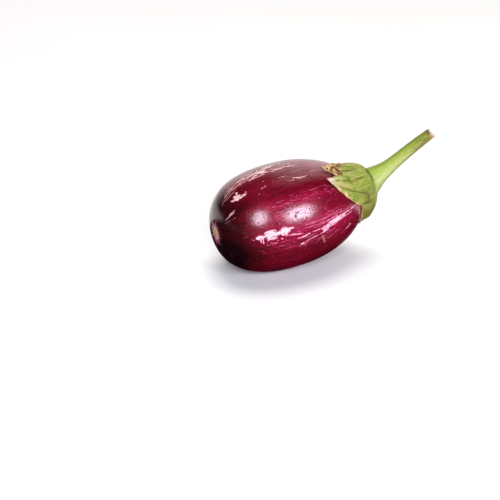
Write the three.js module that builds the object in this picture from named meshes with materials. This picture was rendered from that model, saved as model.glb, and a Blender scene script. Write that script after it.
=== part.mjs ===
// A small striped eggplant, whole, as picked: the egg-shaped fruit, the green cap with five pointed
// lobes that clasps its shoulder, and the cut stalk. It lies on its side.
//
// Millimetres, +Z up. The origin is the centre of the small flat spot that the fruit rests on. The
// fruit's axis lies in the XZ plane, with the blossom end towards -X and the stalk towards +X.
//
// Each piece is drawn round the fruit's axis: along +X from the fruit's widest section, with +Z up
// from the axis and -Y to its front. Bearings round the axis start at -Y and pass through +Z.
import * as THREE from 'three';
import { mergeVertices } from 'three/addons/utils/BufferGeometryUtils.js';

const degrees = THREE.MathUtils.degToRad;
const SAME_POINT = 1e-5;

// The fruit: two halves of one superellipse profile, joined at the widest section.
const FRUIT_RADIUS = 29;
const STALK_HALF = { length: 46.8, power: 2.05 };
const BLOSSOM_HALF = { length: 40.2, power: 2.5 };
const OUT_OF_ROUND = [
  { waves: 2, share: 0.006, bearing: degrees(35) },
  { waves: 3, share: 0.004, bearing: degrees(80) },
];
const BLOSSOM_DIMPLE = { depth: 0.9, radius: 3.6 };
const FRUIT_ROWS = 40;
const FRUIT_COLUMNS = 60;

// How it lies: the stalk end is a little higher, and the underside is flat where it touches.
const TILT = degrees(4.5);
const FLAT_DEPTH = 1.1;
const REST_SAMPLES = 2000;

// The cap is drawn as distances from a point on the fruit's axis, round a line of its own.
const GAP = 0.3;
const CAP_CENTRE = new THREE.Vector3(18, 0, 0);
const CAP_UP = degrees(9.8);
const CAP_SWING = degrees(1.9);
const BLADE = 1.0;
const DOME = {
  upper: { height: 7.6, angle: degrees(28.5), power: 7 },
  lower: { height: 7.4, angle: degrees(28.5), power: 4 },
  bearing: degrees(97),
};
const DOME_RIDGE = 0.06;
const DOME_RIDGE_FROM = degrees(24);
const RING_ANGLE = degrees(45);
const UNDERCUT_FROM = 0.7;
const SHOULDER_ROUND = 1.6;
const BISECTIONS = 40;

// Each lobe: the notch before its tip, then the tip. A notch and a tip have a bearing round the
// cap's line and an angle from it. rise and fall bow the lobe's two edges, below 1 outwards.
const LOBES = [
  { notch: [-8, 33.5], tip: [52.5, 80], rise: 0.86, fall: 1.0, lift: 1.2 },
  { notch: [56, 63.5], tip: [69, 77], rise: 1.0, fall: 3.4, lift: 0.6 },
  { notch: [116, 37], tip: [168, 70], rise: 1.5, fall: 1.0, lift: 1.2 },
  { notch: [204, 44], tip: [240, 72], rise: 1.0, fall: 1.0, lift: 1.6 },
  { notch: [266, 38], tip: [313, 42], rise: 1.0, fall: 0.9, lift: 0.6 },
];
const LIFT_POWER = 5;
const EDGE_WAVE = { height: 0.7, count: 1.5, power: 6 };
const STEPS_TO_TIP = 7;
const CAP_OUTER_ROWS = 17;
const CAP_INNER_ROWS = 5;

// The stalk: a line of slowly changing direction from the middle of the cap, and its thickness.
const FOOT_UP = degrees(12);
const FOOT_SWING = degrees(2.2);
const FOOT_REACH = 36.3;
const STALK_LENGTH = 42.6;
const STALK_UP = { foot: degrees(19.8), neck: degrees(34.5), end: degrees(30.5) };
const STALK_SWING = { foot: degrees(5.8), neck: degrees(8.5), end: degrees(8.5) };
const STALK_TURN = 5;
const STALK_SAG_FROM = 14;
const STALK_RADIUS = 2.85;
const THINNING = { radius: 0.65, power: 3 };
const FLARE = { radius: 3.65, reach: 9.3, power: 1.7 };
const STALK_RIDGES = 5;
const RIDGE_SHARE = { foot: 0.05, end: 0.02, reach: 14 };
const CUT = { slant: 0.23, longestBearing: degrees(-102) };
const STALK_ROWS = 22;
const STALK_COLUMNS = 40;

const SKIN = new THREE.MeshStandardMaterial({ color: 0x8c1238, roughness: 0.22, metalness: 0 });
const CAP_GREEN = new THREE.MeshStandardMaterial({ color: 0xa5b064, roughness: 0.6, metalness: 0 });
const STALK_GREEN = new THREE.MeshStandardMaterial({ color: 0xb5c66a, roughness: 0.5, metalness: 0 });

// A closed skin with the topology of a lathe: place(column, row) gives each point. The first and
// the last row are single points.
function closedSkin(columns, rows, place) {
  const profile = Array.from({ length: rows + 1 }, (_, row) => {
    const turn = (Math.PI * row) / rows;
    return new THREE.Vector2(Math.sin(turn), -Math.cos(turn));
  });
  const skin = new THREE.LatheGeometry(profile, columns);
  const position = skin.getAttribute('position');
  for (let column = 0; column <= columns; column += 1) {
    for (let row = 0; row <= rows; row += 1) {
      const ends = row === 0 || row === rows;
      const point = place(ends ? 0 : column % columns, row);
      position.setXYZ(column * (rows + 1) + row, point.x, point.y, point.z);
    }
  }
  skin.deleteAttribute('normal');
  skin.deleteAttribute('uv');
  const merged = mergeVertices(skin, SAME_POINT);
  merged.computeVertexNormals();
  return merged;
}

function halfAt(x) {
  return x > 0 ? STALK_HALF : BLOSSOM_HALF;
}

function roundness(bearing) {
  return OUT_OF_ROUND.reduce((sum, w) => sum + w.share * Math.cos(w.waves * (bearing - w.bearing)), 1);
}

function profileRadius(x) {
  const half = halfAt(x);
  const share = Math.min(Math.abs(x) / half.length, 1);
  return FRUIT_RADIUS * (1 - share ** half.power) ** (1 / half.power);
}

// Below 1 inside the fruit, 1 on its skin.
function depthIn(point) {
  const half = halfAt(point.x);
  const bearing = Math.atan2(point.z, -point.y);
  const across = Math.hypot(point.y, point.z) / (FRUIT_RADIUS * roundness(bearing));
  return (Math.abs(point.x / half.length) ** half.power + across ** half.power) ** (1 / half.power);
}

// The height of the fruit's widest section above the floor, and its place along X.
function restPlace() {
  const samples = Array.from({ length: REST_SAMPLES + 1 }, (_, i) => {
    const x = THREE.MathUtils.lerp(-BLOSSOM_HALF.length, STALK_HALF.length, i / REST_SAMPLES);
    const under = -profileRadius(x) * roundness(degrees(-90));
    return {
      x: x * Math.cos(TILT) - under * Math.sin(TILT),
      z: x * Math.sin(TILT) + under * Math.cos(TILT),
    };
  });
  const floor = Math.min(...samples.map((s) => s.z)) + FLAT_DEPTH;
  const flat = samples.filter((s) => s.z < floor).map((s) => s.x);
  return new THREE.Vector3(-(Math.min(...flat) + Math.max(...flat)) / 2, 0, -floor);
}

const REST = restPlace();

function fruitPoint(column, row) {
  const turn = (Math.PI * row) / FRUIT_ROWS;
  const half = turn < Math.PI / 2 ? BLOSSOM_HALF : STALK_HALF;
  const x = -Math.cos(turn) * half.length;
  const bearing = (-2 * Math.PI * column) / FRUIT_COLUMNS;
  const radius = profileRadius(x) * roundness(bearing);
  const point = new THREE.Vector3(x, -radius * Math.cos(bearing), radius * Math.sin(bearing));
  if (x < 0) {
    point.x += BLOSSOM_DIMPLE.depth * Math.exp(-((radius / BLOSSOM_DIMPLE.radius) ** 2));
  }
  // What would be under the floor is pressed straight up to it.
  const height = point.x * Math.sin(TILT) + point.z * Math.cos(TILT) + REST.z;
  if (height < 0) {
    point.x -= height * Math.sin(TILT);
    point.z -= height * Math.cos(TILT);
  }
  return point;
}

function aim(up, swing) {
  const level = Math.cos(swing);
  return new THREE.Vector3(Math.cos(up) * level, -Math.sin(swing), Math.sin(up) * level);
}

const CAP_LINE = aim(CAP_UP, CAP_SWING);
const CAP_TOP = new THREE.Vector3(-Math.sin(CAP_UP), 0, Math.cos(CAP_UP));
const CAP_FRONT = new THREE.Vector3().crossVectors(CAP_LINE, CAP_TOP).normalize();
const FOOT = aim(FOOT_UP, FOOT_SWING).multiplyScalar(FOOT_REACH).add(CAP_CENTRE);
const FOOT_NORMAL = aim(STALK_UP.foot, STALK_SWING.foot);

function capRay(angle, bearing) {
  const across = CAP_FRONT.clone().multiplyScalar(Math.cos(bearing));
  across.addScaledVector(CAP_TOP, Math.sin(bearing));
  return CAP_LINE.clone().multiplyScalar(Math.cos(angle)).addScaledVector(across, Math.sin(angle));
}

function reachToSkin(ray) {
  let inner = 0;
  let outer = 2 * STALK_HALF.length;
  for (let step = 0; step < BISECTIONS; step += 1) {
    const middle = (inner + outer) / 2;
    if (depthIn(CAP_CENTRE.clone().addScaledVector(ray, middle)) < 1) inner = middle;
    else outer = middle;
  }
  return inner;
}

// The cap's outline at a column: its bearing, the angle of its edge, how near the column is to a
// lobe's midrib (1) or a notch (0), and how far the lobe's tip bends off the fruit.
function capEdge(column) {
  const lobe = LOBES[Math.floor(column / (2 * STEPS_TO_TIP))];
  const next = LOBES[(LOBES.indexOf(lobe) + 1) % LOBES.length];
  const step = (column % (2 * STEPS_TO_TIP)) / STEPS_TO_TIP;
  const rising = step < 1;
  const share = rising ? step : 2 - step;
  const notch = rising ? lobe.notch : [next.notch[0] + (next === LOBES[0] ? 360 : 0), next.notch[1]];
  const bearing = THREE.MathUtils.lerp(notch[0], lobe.tip[0], share);
  const angle = THREE.MathUtils.lerp(notch[1], lobe.tip[1], share ** (rising ? lobe.rise : lobe.fall));
  return { bearing: degrees(bearing), angle: degrees(angle), midrib: share, lift: lobe.lift };
}

function domeHeight(angle, bearing, midrib) {
  const top = 0.5 + 0.5 * Math.cos(bearing - DOME.bearing);
  const height = THREE.MathUtils.lerp(DOME.lower.height, DOME.upper.height, top);
  const width = THREE.MathUtils.lerp(DOME.lower.angle, DOME.upper.angle, top);
  const power = THREE.MathUtils.lerp(DOME.lower.power, DOME.upper.power, top);
  const ridge = DOME_RIDGE * Math.min(angle / DOME_RIDGE_FROM, 1) * -Math.cos(Math.PI * midrib);
  return (height * (1 + ridge)) / (1 + (angle / width) ** power);
}

function softMinimum(a, b) {
  return (a + b - Math.hypot(a - b, SHOULDER_ROUND)) / 2;
}

// Rows run from the middle of the cap's top to the edge of the lobes, and back underneath.
function capPoint(column, row) {
  const edge = capEdge(column);
  const outside = row <= CAP_OUTER_ROWS;
  const share = outside ? row / CAP_OUTER_ROWS
    : 1 - (row - CAP_OUTER_ROWS - 1) / CAP_INNER_ROWS;
  const angle = RING_ANGLE * share + (edge.angle - RING_ANGLE) * share ** 2;
  const ray = capRay(angle, edge.bearing);
  const skin = reachToSkin(ray) + GAP;
  const height = domeHeight(angle, edge.bearing, edge.midrib);
  const wave = 0.5 - 0.5 * Math.cos(2 * Math.PI * EDGE_WAVE.count * edge.midrib);
  const lift = edge.lift * (share * edge.midrib) ** LIFT_POWER
    + EDGE_WAVE.height * wave * share ** EDGE_WAVE.power;
  const underFoot = FOOT.clone().sub(CAP_CENTRE).dot(FOOT_NORMAL) / ray.dot(FOOT_NORMAL);
  const undercut = THREE.MathUtils.smoothstep(share, UNDERCUT_FROM, 1);
  const reach = outside ? softMinimum(skin + BLADE + height + lift, underFoot)
    : skin + height * undercut + lift;
  return CAP_CENTRE.clone().addScaledVector(ray, reach);
}

function bend({ foot, neck, end }, along) {
  const turned = 1 - Math.exp(-along / STALK_TURN);
  const sagged = THREE.MathUtils.smoothstep(along, STALK_SAG_FROM, STALK_LENGTH);
  return foot + (neck - foot) * turned + (end - neck) * sagged;
}

function stalkAim(along) {
  return aim(bend(STALK_UP, along), bend(STALK_SWING, along));
}

function stalkLine(rows) {
  const step = STALK_LENGTH / rows;
  const line = [FOOT.clone()];
  for (let row = 0; row < rows; row += 1) {
    line.push(line[row].clone().addScaledVector(stalkAim((row + 0.5) * step), step));
  }
  return line;
}

function stalkRadius(along, bearing) {
  const thickening = THINNING.radius * (1 - (along / STALK_LENGTH) ** THINNING.power);
  const flare = FLARE.radius * Math.exp(-((along / FLARE.reach) ** FLARE.power));
  const radius = STALK_RADIUS + thickening + flare;
  const fade = Math.exp(-along / RIDGE_SHARE.reach);
  const share = THREE.MathUtils.lerp(RIDGE_SHARE.end, RIDGE_SHARE.foot, fade);
  return radius * (1 + share * Math.cos(STALK_RIDGES * bearing));
}

const STALK_LINE = stalkLine(STALK_ROWS);

// Rows run from the middle of the foot to its rim, along the stalk, and over the slanted cut.
function stalkPoint(column, row) {
  const ring = THREE.MathUtils.clamp(row - 1, 0, STALK_ROWS);
  const along = (ring * STALK_LENGTH) / STALK_ROWS;
  const heading = stalkAim(along);
  const front = new THREE.Vector3(0, 0, 1).cross(heading).normalize().negate();
  const top = new THREE.Vector3().crossVectors(front, heading).normalize();
  const bearing = (-2 * Math.PI * column) / STALK_COLUMNS;
  const onAxis = row === 0 || row === STALK_ROWS + 2;
  const radius = onAxis ? 0 : stalkRadius(along, bearing);
  const point = STALK_LINE[ring].clone();
  point.addScaledVector(front, radius * Math.cos(bearing));
  point.addScaledVector(top, radius * Math.sin(bearing));
  if (ring === STALK_ROWS) {
    const longer = CUT.slant * radius * Math.cos(bearing - CUT.longestBearing);
    point.addScaledVector(heading, longer);
  }
  return point;
}

function piece(name, geometry, material) {
  const mesh = new THREE.Mesh(geometry, material);
  mesh.name = name;
  return mesh;
}

const capColumns = 2 * STEPS_TO_TIP * LOBES.length;
const capRows = CAP_OUTER_ROWS + CAP_INNER_ROWS + 1;

const lying = new THREE.Group();
lying.rotation.y = -TILT;
lying.position.copy(REST);
lying.add(piece('fruit', closedSkin(FRUIT_COLUMNS, FRUIT_ROWS, fruitPoint), SKIN));
lying.add(piece('calyx', closedSkin(capColumns, capRows, capPoint), CAP_GREEN));
lying.add(piece('stem', closedSkin(STALK_COLUMNS, STALK_ROWS + 2, stalkPoint), STALK_GREEN));

const eggplant = new THREE.Group();
eggplant.add(lying);

export default eggplant;
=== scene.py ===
"""A small striped eggplant on a pale floor: streaked glossy fruit, lobed green calyx, cut green stalk.

Forms are worked out in millimetres round the fruit's axis: x along it from the fruit's widest
section to the stalk, z up from it, y away from the front. Bearings round the axis start at the
front (-y) and pass through the top (+z). Meshes are written in metres in the part's own frame.
"""

import math

import bpy
import numpy as np
from mathutils import Matrix, Vector


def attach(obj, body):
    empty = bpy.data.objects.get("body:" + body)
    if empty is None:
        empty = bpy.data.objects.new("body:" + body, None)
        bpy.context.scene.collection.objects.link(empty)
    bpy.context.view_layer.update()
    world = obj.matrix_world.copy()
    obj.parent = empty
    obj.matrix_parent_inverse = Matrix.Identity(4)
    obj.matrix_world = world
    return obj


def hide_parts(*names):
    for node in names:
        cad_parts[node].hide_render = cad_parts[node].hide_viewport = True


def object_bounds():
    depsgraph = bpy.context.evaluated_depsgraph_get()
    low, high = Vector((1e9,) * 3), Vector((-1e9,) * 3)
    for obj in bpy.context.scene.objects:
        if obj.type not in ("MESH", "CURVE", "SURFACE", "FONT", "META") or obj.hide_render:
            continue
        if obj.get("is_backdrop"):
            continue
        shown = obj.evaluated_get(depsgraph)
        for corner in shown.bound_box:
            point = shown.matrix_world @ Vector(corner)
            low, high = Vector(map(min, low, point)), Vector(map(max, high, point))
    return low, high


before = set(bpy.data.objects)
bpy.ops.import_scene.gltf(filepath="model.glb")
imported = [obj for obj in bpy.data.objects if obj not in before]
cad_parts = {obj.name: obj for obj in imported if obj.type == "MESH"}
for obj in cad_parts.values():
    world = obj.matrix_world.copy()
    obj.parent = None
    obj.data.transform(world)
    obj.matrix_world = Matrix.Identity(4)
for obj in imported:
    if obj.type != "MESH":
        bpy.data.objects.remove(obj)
cad_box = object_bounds()

MM = 0.001
rad = math.radians


# -------- dimensions, as in the CAD part

FRUIT_RADIUS = 29
STALK_HALF = (46.8, 2.05)  # length and power of the profile
BLOSSOM_HALF = (40.2, 2.5)
OUT_OF_ROUND = ((2, 0.006, rad(35)), (3, 0.004, rad(80)))
DIMPLE_DEPTH, DIMPLE_RADIUS = 0.9, 3.6
TILT = rad(4.5)
FLAT_DEPTH = 1.1

GAP = 0.3
CAP_CENTRE = np.array([18, 0, 0])
CAP_UP, CAP_SWING = rad(9.8), rad(1.9)
BLADE = 1
DOME_UPPER = (7.6, rad(28.5), 7)  # height, angle and power
DOME_LOWER = (7.4, rad(28.5), 4)
DOME_BEARING = rad(97)
DOME_RIDGE, DOME_RIDGE_FROM = 0.06, rad(24)
RING_ANGLE = rad(45)
UNDERCUT_FROM = 0.7
SHOULDER_ROUND = 1
# Each lobe: notch bearing and angle, tip bearing and angle, bow of both edges, lift of the tip.
LOBES = (
    (-8, 33.5, 52.5, 80, 0.86, 1, 1.2),
    (56, 63.5, 69, 77, 1, 3.4, 0.6),
    (116, 37, 168, 70, 1.5, 1, 1.2),
    (204, 44, 240, 72, 1, 1, 1.6),
    (266, 38, 313, 42, 1, 0.9, 0.6),
)
LIFT_POWER = 5
WAVE_HEIGHT, WAVE_COUNT, WAVE_POWER = 0.7, 1.5, 6

FOOT_UP, FOOT_SWING, FOOT_REACH = rad(12), rad(2.2), 36.3
STALK_LENGTH = 42.6
STALK_UP = (rad(19.8), rad(34.5), rad(30.5))  # at the foot, the neck and the end
STALK_SWING = (rad(5.8), rad(8.5), rad(8.5))
STALK_TURN = 5
STALK_SAG_FROM = 14
STALK_RADIUS, STALK_THINNING, THINNING_POWER = 2.85, 0.65, 3
FLARE_RADIUS, FLARE_REACH, FLARE_POWER = 3.65, 9.3, 1.7
STALK_RIDGES = 5
RIDGE_FOOT, RIDGE_END, RIDGE_REACH = 0.05, 0.02, 14
CUT_SLANT, CUT_BEARING = 0.23, rad(-102)  # the cut leaves this side the longest


# -------- small helpers

def mix(a, b, share):
    return a + (b - a) * share


def ease(value, low, high):
    """0 up to low, 1 from high on, with a smooth rise between."""
    share = np.clip((value - low) / (high - low), 0, 1)
    return share * share * (3 - 2 * share)


def bell(value, width, power=2):
    """1 at 0, falling to both sides. A power of 4 gives a flat top and steep sides."""
    return np.exp(-((value / width) ** power))


def wrapped(angle):
    """An angle in radians brought to -pi..pi."""
    return (angle + np.pi) % (2 * np.pi) - np.pi


def past(bearing, low, high):
    """0 before the first bearing, given in degrees, and 1 past the second."""
    return ease(bearing, rad(low), rad(high))


def near(bearing, middle, width):
    """A bell round a bearing, given in degrees."""
    return bell(wrapped(bearing - rad(middle)), rad(width))


def stacked(*parts):
    """Vectors from their parts, each spread over the layout of all."""
    return np.stack(np.broadcast_arrays(*parts), -1)


def unit(vectors):
    return vectors / np.linalg.norm(vectors, axis=-1, keepdims=True)


class Ripple:
    """Smooth seeded noise in three dimensions, about -strength to strength, from crossed sine waves."""

    WAVES = 9

    def __init__(self, seed, size, strength):
        random = np.random.default_rng(seed)
        direction = unit(random.normal(size=(self.WAVES, 3)))
        self.wave = direction * random.uniform(0.6, 1.5, (self.WAVES, 1)) * 2 * np.pi / size
        self.phase = random.uniform(0, 2 * np.pi, self.WAVES)
        self.strength = strength

    def __call__(self, points):
        total = np.sin(points @ self.wave.T + self.phase).sum(-1)
        return self.strength * (total / math.sqrt(2 * self.WAVES))


def column_bearings(count):
    return (-2 * np.pi * np.arange(count) / count)[:, None]


def add_object(name, data):
    made = bpy.data.objects.new(name, data)
    bpy.context.scene.collection.objects.link(made)
    return made


def closed_mesh(name, points, fields):
    """A closed body from points[column, row] whose first and last rows are single points.

    fields holds values by name. They are spread over the same layout and kept on the mesh, where
    its material reads them.
    """
    columns, rows = points.shape[:2]

    def flat(grid):
        spread = np.broadcast_to(grid, (columns, rows) + grid.shape[2:])
        body = spread[:, 1:-1].reshape(-1, *grid.shape[2:])
        return np.concatenate([spread[:1, 0], body, spread[:1, -1]])

    inner = columns * (rows - 2)
    here = 1 + np.arange(inner).reshape(columns, -1)
    after = np.roll(here, -1, axis=0)
    quads = stacked(here[:, :-1], after[:, :-1], after[:, 1:], here[:, 1:]).reshape(-1, 4)
    start = stacked(0, after[:, 0], here[:, 0])
    end = stacked(inner + 1, here[:, -1], after[:, -1])
    mesh = bpy.data.meshes.new(name)
    mesh.from_pydata(flat(points) * MM, [], quads.tolist() + start.tolist() + end.tolist())
    mesh.polygons.foreach_set("use_smooth", np.ones(len(mesh.polygons), bool))
    for field, grid in fields.items():
        kind, value = ("FLOAT_VECTOR", "vector") if grid.ndim == 3 else ("FLOAT", "value")
        store = mesh.attributes.new(field, kind, "POINT")
        store.data.foreach_set(value, flat(grid).astype(np.float32).ravel())
    return add_object(name, mesh)


# -------- where the fruit lies

REST_SAMPLES = 2001
SLOPE_STEP = 0.01  # over which the profile's slope is taken


def roundness(bearing):
    return 1 + sum(share * np.cos(waves * (bearing - at)) for waves, share, at in OUT_OF_ROUND)


def half_at(x):
    """The length and the power of the profile at x."""
    return [np.where(x > 0, stalk, blossom) for stalk, blossom in zip(STALK_HALF, BLOSSOM_HALF)]


def profile_radius(x):
    length, power = half_at(x)
    share = np.minimum(np.abs(x) / length, 1)
    return FRUIT_RADIUS * (1 - share ** power) ** (1 / power)


def depth_in(points):
    """Below 1 inside the fruit, 1 on its skin."""
    x, y, z = np.moveaxis(points, -1, 0)
    length, power = half_at(x)
    across = np.hypot(y, z) / (FRUIT_RADIUS * roundness(np.arctan2(z, -y)))
    return (np.abs(x / length) ** power + across ** power) ** (1 / power)


def rest_place():
    x = np.linspace(-BLOSSOM_HALF[0], STALK_HALF[0], REST_SAMPLES)
    under = -profile_radius(x) * roundness(rad(-90))
    along = x * math.cos(TILT) - under * math.sin(TILT)
    height = x * math.sin(TILT) + under * math.cos(TILT)
    floor = height.min() + FLAT_DEPTH
    flat = along[height < floor]
    return np.array([-(flat.min() + flat.max()) / 2, 0, -floor])


REST = rest_place()
AXES = np.array([  # rows: the fruit's x, y and z in the part's frame
    [math.cos(TILT), 0, math.sin(TILT)],
    [0, 1, 0],
    [-math.sin(TILT), 0, math.cos(TILT)],
])


def laid(points):
    """Points given round the fruit's axis, in the part's own frame."""
    return points @ AXES + REST


def skin_at(x, bearing):
    """The fruit's skin at a place, in the part's frame, and its outward direction."""
    x = np.array([x - SLOPE_STEP, x, x + SLOPE_STEP])
    radius = profile_radius(x) * roundness(bearing)
    slope = (radius[2] - radius[0]) / (2 * SLOPE_STEP)
    across = np.array([0, -math.cos(bearing), math.sin(bearing)])
    normal = across - np.array([slope, 0, 0])
    place = np.array([x[1], 0, 0]) + across * radius[1]
    return laid(place), unit(normal) @ AXES


# -------- fruit

FRUIT_ROWS, FRUIT_COLUMNS = 181, 540

# Noises are given by their seed, size in mm and strength.
SWELL = Ripple(3, 34, 0.12)  # slow unevenness of the skin
SWELL_EDGE = (2, 12)  # it fades out between these distances from the axis
SCAR_OUTLINE = Ripple(8, 2.5, 0.18)
SCAR_RELIEF = Ripple(12, 0.9, 0.3)
TONE_DRIFT = Ripple(5, 26, 0.07)
FLECK_DRIFT = Ripple(61, 22, 0.25)

# The dry scar left by the flower, the pale ring round it and the fine rays out of it.
SCAR_RISE = 0.45
SCAR_EDGE = (1.36, 1.955)  # its edge fades from the first radius to the second
RING_EDGE = (2.6, 3.9)
RAY_WAVES = ((13, 0.4), (21, 2.1), (34, 4), (47, 1.2), (61, 5.1))  # count and phase
RAY_REACH, RAY_LEAST, RAY_WHITENESS = 4.6, 2.5, 0.72
RAY_EDGE = (0.3, 1.7)  # a ray fades between these shares of its reach

STROKE_EDGE = (0.4, 1.7)  # a stroke fades between these shares of its half-width
STROKE_TAPER = 0.45  # and narrows by this share at its ends
# Pale strokes on the skin: half-width in mm, whiteness, then x and bearing of places along the middle.
STROKES = (
    # mottled white patch, low on the blossom half
    (2.15, 1.12, (-14.4, 10.3), (-10.4, 10.4)), (0.45, 0.85, (-11, 12.2), (-6.7, 12)),
    (0.4, 0.7, (-12, 5.3), (-7.5, 4.6), (-3.5, 3.6)), (1, 1.1, (-22.2, 12), (-17, 13)),
    (1.25, 1.1, (-22.4, 9.4), (-15.6, 9.6)), (1, 0.92, (-21.5, 6), (-16.8, 5.8)),
    (1, 1.05, (-26.6, 7.4), (-23, 8.6)), (0.4, 0.85, (-25.1, 6), (-24.6, 1.6)),
    (0.4, 0.85, (-23.9, 8), (-23.6, 0.3)), (0.4, 0.8, (-21.7, 4), (-20.9, 3)),
    (0.5, 0.5, (-28.9, 6.5), (-28, 5.6)), (0.45, 0.8, (-14.6, 3.2), (-13.8, 2.9)),
    (0.35, 0.55, (-20.3, 0.2), (-18, -1.2), (-16.4, -0.6)), (0.3, 0.5, (-17.2, 2.6), (-15.8, 1.8)),
    (0.3, 0.45, (-19.6, -2.4), (-18.6, -2.6)), (0.35, 0.5, (-8.2, -3.2), (-7.2, -3.6)),
    # long streak that runs up to the calyx
    (0.42, 0.8, (-5.4, -1.2), (-1.2, -0.4), (0.4, 1), (2.6, 1.3)), (0.36, 0.74, (3, 2.1), (9, 2.9)),
    (0.9, 0.83, (9.2, 2.2), (12, 3.2), (14, 4.4)), (0.75, 0.8, (9.6, 0.2), (13.6, 1.6)),
    (0.6, 0.83, (13.4, 5.9), (18, 7.6), (25.5, 9.7)), (0.8, 0.83, (13.4, 3.4), (20, 5.6), (25, 7.6)),
    (0.45, 0.64, (14.5, 1.6), (20, 3.4)), (0.34, 0.71, (21, 9.4), (29, 11.2), (34.5, 14.6)),
    (0.34, 0.63, (24.5, 6.3), (27, 7), (30.6, 7.9)), (0.6, 0.87, (-3.6, -8.6), (-2, -8)),
    (0.42, 0.71, (-3.6, -8.3), (1, -6), (4, -4.6), (7, -3.4)),
    (0.45, 0.75, (7, -3.6), (9.6, -2.5), (13.4, -0.8)), (0.3, 0.48, (10.5, -5.2), (14, -3.6), (18, -2.6)),
    (0.35, 0.52, (-5, -10.4), (-3.4, -11.6)), (0.3, 0.35, (-2.2, -13), (-0.6, -14.6)),
    (0.3, 0.35, (2, -8.6), (7, -7)), (0.3, 0.43, (-1.6, -3), (4, -1.4)),
    # threads above and beside it
    (0.3, 0.55, (-9, 5.6), (-2, 3.2)), (0.28, 0.5, (3, 5.4), (10, 7.4), (17, 10), (21, 10.6)),
    (0.32, 0.48, (-1, 11.4), (9, 12), (15, 14), (24, 16.6)),
    (0.3, 0.4, (-3, 8), (8, 8.6), (14, 9.6), (20, 11.8)), (0.3, 0.42, (18, 12.6), (24, 13.2), (31, 15)),
    (0.25, 0.32, (12, 18), (20, 19.4), (27, 21)), (0.35, 0.5, (24.2, -0.6), (25.4, 0.2)),
    (0.3, 0.4, (28.4, -1.4), (29.2, -0.6)),
    # short streak near the lower edge of the stalk half
    (0.3, 0.45, (21.4, -15.8), (25, -13.2)), (0.32, 0.78, (24.8, -13), (29, -9.8)),
    (0.3, 0.6, (28, -8), (29.4, -10.2)), (0.3, 0.4, (14.6, -11.4), (16, -11.6)),
    (0.3, 0.7, (8, -57), (18, -46), (26, -36), (34, -28), (40, -12)),
    # cream patch and finer strokes on the blossom shoulder
    (0.6, 0.85, (-28.5, 76), (-28.7, 72)), (1, 0.95, (-30.2, 72.4), (-29.6, 64.4)),
    (0.95, 0.95, (-28.8, 70), (-28, 64.6)), (0.6, 0.7, (-32.4, 70), (-31.2, 66.4)),
    (0.75, 0.85, (-28, 66), (-25.2, 65.2)), (0.35, 0.75, (-24.8, 67.4), (-24.4, 69)),
    (0.3, 0.4, (-26, 76), (-25.4, 73)), (0.34, 0.66, (-37.2, 48), (-35.4, 50), (-33.4, 50.6)),
    (0.34, 0.66, (-35.6, 51.6), (-32.4, 53.4)), (0.3, 0.45, (-38, 42), (-33.4, 42.6)),
    # band of many strands along the top
    (0.24, 0.62, (-36, 80), (-30, 84), (-24, 86)), (0.24, 0.62, (-34, 86), (-28, 90), (-22, 91)),
    (0.24, 0.66, (-30, 90), (-22, 93.5), (-15, 95)), (0.24, 0.62, (-26, 83), (-19, 85.5)),
    (0.26, 0.66, (-24, 88), (-16, 87)), (0.28, 0.7, (-18, 90), (-8, 90.5)),
    (0.28, 0.66, (-12, 93), (-2, 92)), (0.26, 0.62, (-8, 87), (2, 87.4)),
    (0.24, 0.56, (-10, 83), (0, 82.4)), (0.22, 0.5, (-34, 78), (-28, 80)),
    (0.26, 0.7, (-35.6, 84), (-31, 87.6), (-26.6, 88)), (0.26, 0.62, (-33, 91), (-28, 93.4)),
    (0.3, 0.62, (-26.6, 86), (-22, 88)), (0.34, 0.8, (-24.6, 91), (-20.6, 91.6)),
    (0.34, 0.8, (-22.6, 93.6), (-20.4, 89)), (0.42, 0.85, (-20, 90.6), (-16.4, 89.4), (-14, 90)),
    (0.36, 0.85, (-20.4, 82), (-17.4, 83), (-14.6, 87.6)), (0.4, 0.86, (-17.6, 84.6), (-13.6, 85.4)),
    (0.32, 0.76, (-17.6, 93), (-13, 91.6)), (1, 1.02, (-14, 88.6), (-9.4, 88)),
    (0.36, 0.8, (-13.6, 91.6), (-12, 96)), (0.55, 0.9, (-12.6, 85), (-8.6, 84.8)),
    (0.62, 0.96, (-9.6, 92.6), (-7, 94.6), (-4, 94)),
    (0.28, 0.64, (-19, 81.4), (-15, 81.8), (-10.6, 81.6)),
    (0.48, 0.98, (-5.2, 84.2), (-1, 84.4), (1, 85)), (0.32, 0.74, (0.6, 85), (4, 84), (8, 81.6)),
    (0.3, 0.5, (-7, 81.6), (-5, 81.4)), (0.4, 0.6, (-1, 91), (7, 89.6)),
    (0.26, 0.6, (3, 87.4), (10, 85.6)), (0.4, 0.75, (-9, 98), (2, 97)), (0.34, 0.7, (-24, 99), (-17, 98)),
    (0.28, 0.66, (-20, 96), (-14, 97.4)), (0.34, 0.5, (-30, 96.6), (-24.4, 96.8)),
    (0.35, 0.6, (-14.6, 71.4), (-13.8, 71.8)), (0.45, 0.5, (-17, 63), (-14.4, 64.2)),
    (0.3, 0.7, (-19.4, 57.4), (-18.8, 58.2)), (0.28, 0.5, (-6, 69.4), (0, 70)),
    (0.34, 0.82, (1, 64.6), (3, 64), (4.6, 62.6), (8, 63), (9.6, 64)), (0.3, 0.42, (-2, 62), (2, 61.6)),
    (0.35, 0.5, (12.6, 69.6), (17, 70), (19.4, 70.8)), (0.28, 0.42, (10.4, 63), (13, 62.6)),
    (0.3, 0.45, (21, 62), (24.4, 62.2)),
)

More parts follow.
